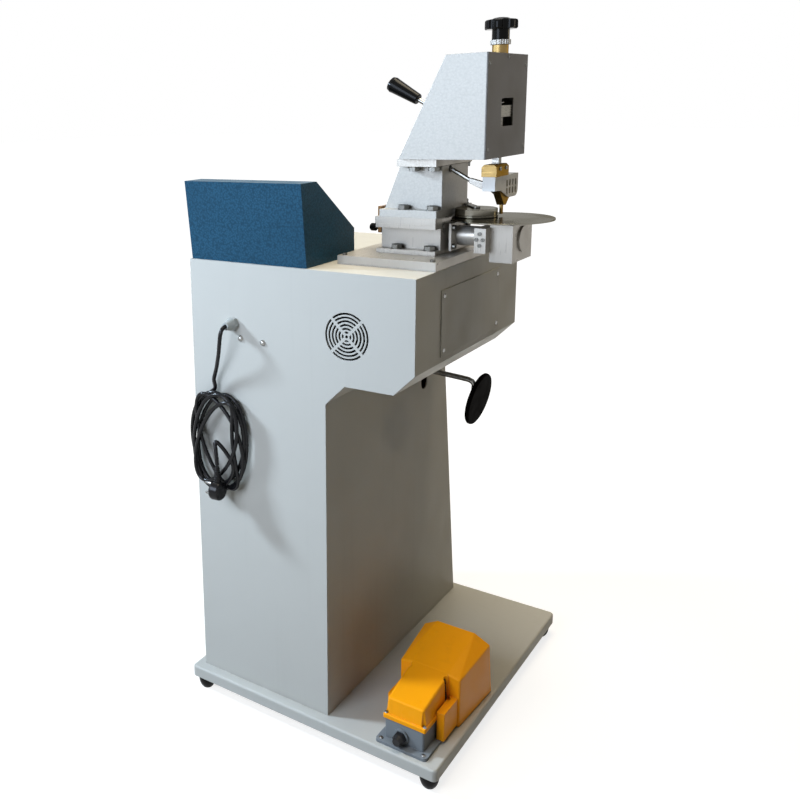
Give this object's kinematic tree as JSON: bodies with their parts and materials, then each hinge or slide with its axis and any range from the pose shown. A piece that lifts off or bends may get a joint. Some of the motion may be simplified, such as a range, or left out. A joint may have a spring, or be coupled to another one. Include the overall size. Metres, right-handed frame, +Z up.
{
  "type": "pedal-operated heat pressing machine",
  "caption": "Floor-standing pedal machine: a heated brass bit on a sprung spindle works on the rim of a powered steel disc, with a knee lever, lift lever, control box and foot switch",
  "frame": {"origin": "Middle of the underside of the whole machine without its cord: the floor, midway between the left edge of the disc and the right edge of the base plate, and midway along the base plate's depth", "axes": "+Z is up. The operator stands at -Y and faces +Y. +X is the operator's right, where the cabinet's column is."},
  "size_m": [0.576, 0.6088, 1.2086],
  "materials": {
    "base_paint": "light warm grey enamel",
    "black_rubber": "matt black",
    "cover_paint": "light warm grey enamel",
    "zinc": "bright zinc",
    "black_plastic": "glossy black",
    "matt_black_plastic": "matt black",
    "grey_plastic": "mid grey",
    "cord_black": "satin black",
    "control_paint": "fine textured dark blue-black",
    "panel_paint": "satin dark grey",
    "rocker_red": "glossy red",
    "machined_aluminium": "fine milled",
    "fixing_steel": "bright, black oxide on the socket screws",
    "brown_laminate": "brown laminate",
    "hammer_paint": "silver hammertone",
    "cover_dark": "satin dark grey",
    "brass": "turned, lightly tarnished",
    "steel": "ground",
    "white_ceramic": "white heat-resisting enamel",
    "polished_steel": "mirror polished",
    "motor_paint": "satin black",
    "cast_grey": "grey casting enamel",
    "orange": "satin orange enamel"
  },
  "bodies": {
    "frame": {"base_plate": "base_paint", "rubber_feet": "black_rubber", "cabinet_shell": "base_paint", "access_cover": "cover_paint", "casing_screws": "zinc", "fan_frame": "matt_black_plastic", "cable_gland": "grey_plastic", "power_cord": "cord_black", "cord_coil": "cord_black", "power_plug": "cord_black", "control_housing": "control_paint", "control_panel": "panel_paint", "switch_bezel": "matt_black_plastic", "bed_plate": "machined_aluminium", "riser_block": "machined_aluminium", "bed_fasteners": "fixing_steel", "slide_base": "machined_aluminium", "gearbox_housing": "machined_aluminium", "gearbox_cap": "machined_aluminium", "bearing_flange": "machined_aluminium", "drive_motor": "motor_paint", "guide_bracket": "steel", "knee_bracket": "steel", "switch_base": "cast_grey", "switch_cover": "orange", "switch_gland": "matt_black_plastic"},
    "carriage": {"slide_plate": "machined_aluminium", "adjuster_bracket": "brown_laminate", "neck": "hammer_paint", "head_mount_plate": "machined_aluminium", "head_fasteners": "fixing_steel", "head_shell": "hammer_paint", "head_cover": "cover_dark", "brass_bush": "brass", "spindle_guide": "brass", "lever_bracket": "steel", "heater_lead": "steel", "pressure_spring": "steel"},
    "adjuster": {"adjuster_screw": "black_plastic"},
    "spindle": {"spindle": "steel", "heater_block": "brass", "heater_screws": "zinc", "heater_guard": "white_ceramic", "heating_bit": "brass"},
    "pressure_adjuster": {"star_knob": "black_plastic", "pressure_screw": "steel"},
    "lock_ring": {"lock_ring": "steel"},
    "lift_lever": {"lift_lever": "steel", "lever_grip": "black_plastic"},
    "disc": {"turntable_disc": "polished_steel", "disc_shaft": "steel"},
    "drive_shaft": {"drive_shaft": "steel"},
    "roller": {"guide_roller": "polished_steel"},
    "fan": {"fan_rotor": "matt_black_plastic"},
    "knee_lever": {"knee_lever": "steel", "knee_pad": "black_plastic"},
    "pedal": {"foot_pedal": "black_rubber"},
    "temperature_knob": {"temperature_knob": "black_plastic"},
    "speed_knob": {"speed_knob": "black_plastic"},
    "rocker": {"power_rocker": "rocker_red"}
  },
  "joints": [
    {"name": "cross_slide", "type": "slide", "parent": "frame", "child": "carriage", "axis": [1, 0, 0], "range_m": [-0.001, 0.003]},
    {"name": "adjuster_turn", "type": "hinge", "parent": "carriage", "child": "adjuster", "pos_m": [-0.02, 0.115, 0.8875], "axis": [1, 0, 0], "range_deg": [-1150, 430]},
    {"name": "spindle_slide", "type": "slide", "parent": "carriage", "child": "spindle", "axis": [0, 0, 1], "range_m": [-0.0025, 0.01], "stiffness_N_per_m": 1200, "springref_m": -0.02, "deforming": ["pressure_spring"]},
    {"name": "pressure_turn", "type": "hinge", "parent": "carriage", "child": "pressure_adjuster", "pos_m": [-0.197, 0.073, 1.15555], "axis": [0, 0, 1], "range_deg": [-1080, 1080]},
    {"name": "lock_ring_turn", "type": "hinge", "parent": "carriage", "child": "lock_ring", "pos_m": [-0.197, 0.073, 1.17155], "axis": [0, 0, 1], "range_deg": [-90, 360]},
    {"name": "lift_lever_swing", "type": "hinge", "parent": "carriage", "child": "lift_lever", "pos_m": [-0.132, 0.073, 1.05405], "axis": [0, 1, 0], "range_deg": [-3, 11.5]},
    {"name": "disc_turn", "type": "hinge", "parent": "frame", "child": "disc", "pos_m": [-0.21, 0.073, 0.907], "axis": [0, 0, 1], "continuous": true},
    {"name": "drive_turn", "type": "hinge", "parent": "frame", "child": "drive_shaft", "pos_m": [-0.21, 0.073, 0.876], "axis": [1, 0, 0], "continuous": true},
    {"name": "roller_turn", "type": "hinge", "parent": "frame", "child": "roller", "pos_m": [-0.166, 0.072, 0.914], "axis": [0, 0, 1], "continuous": true},
    {"name": "fan_turn", "type": "hinge", "parent": "frame", "child": "fan", "pos_m": [-0.041, 0.254, 0.735], "axis": [0, 1, 0], "continuous": true},
    {"name": "knee_lever_swing", "type": "hinge", "parent": "frame", "child": "knee_lever", "pos_m": [0.038, -0.099, 0.647], "axis": [0, 1, 0], "range_deg": [-18.5, 5]},
    {"name": "pedal_press", "type": "hinge", "parent": "frame", "child": "pedal", "pos_m": [-0.145, 0.16, 0.069], "axis": [1, 0, 0], "range_deg": [0, 8], "stiffness_Nm_per_rad": 6, "springref_deg": -6.88},
    {"name": "temperature_turn", "type": "hinge", "parent": "frame", "child": "temperature_knob", "pos_m": [0.085, 0.15781, 0.92128], "axis": [0, -0.5914, 0.8064], "range_deg": [-270, 0]},
    {"name": "speed_turn", "type": "hinge", "parent": "frame", "child": "speed_knob", "pos_m": [0.217, 0.15781, 0.92128], "axis": [0, -0.5914, 0.8064], "range_deg": [-270, 0]},
    {"name": "rocker_tip", "type": "hinge", "parent": "frame", "child": "rocker", "pos_m": [0.151, 0.15959, 0.91886], "axis": [0, 0.8064, 0.5914], "range_deg": [0, 14]}
  ],
  "couplings": [
    {"joint": "adjuster_turn", "follows": "cross_slide", "rad_per_m": -6283.2},
    {"joint": "lift_lever_swing", "follows": "spindle_slide", "rad_per_m": 18.518},
    {"joint": "knee_lever_swing", "follows": "spindle_slide", "rad_per_m": -31.416},
    {"joint": "drive_turn", "follows": "disc_turn", "ratio": 1}
  ]
}
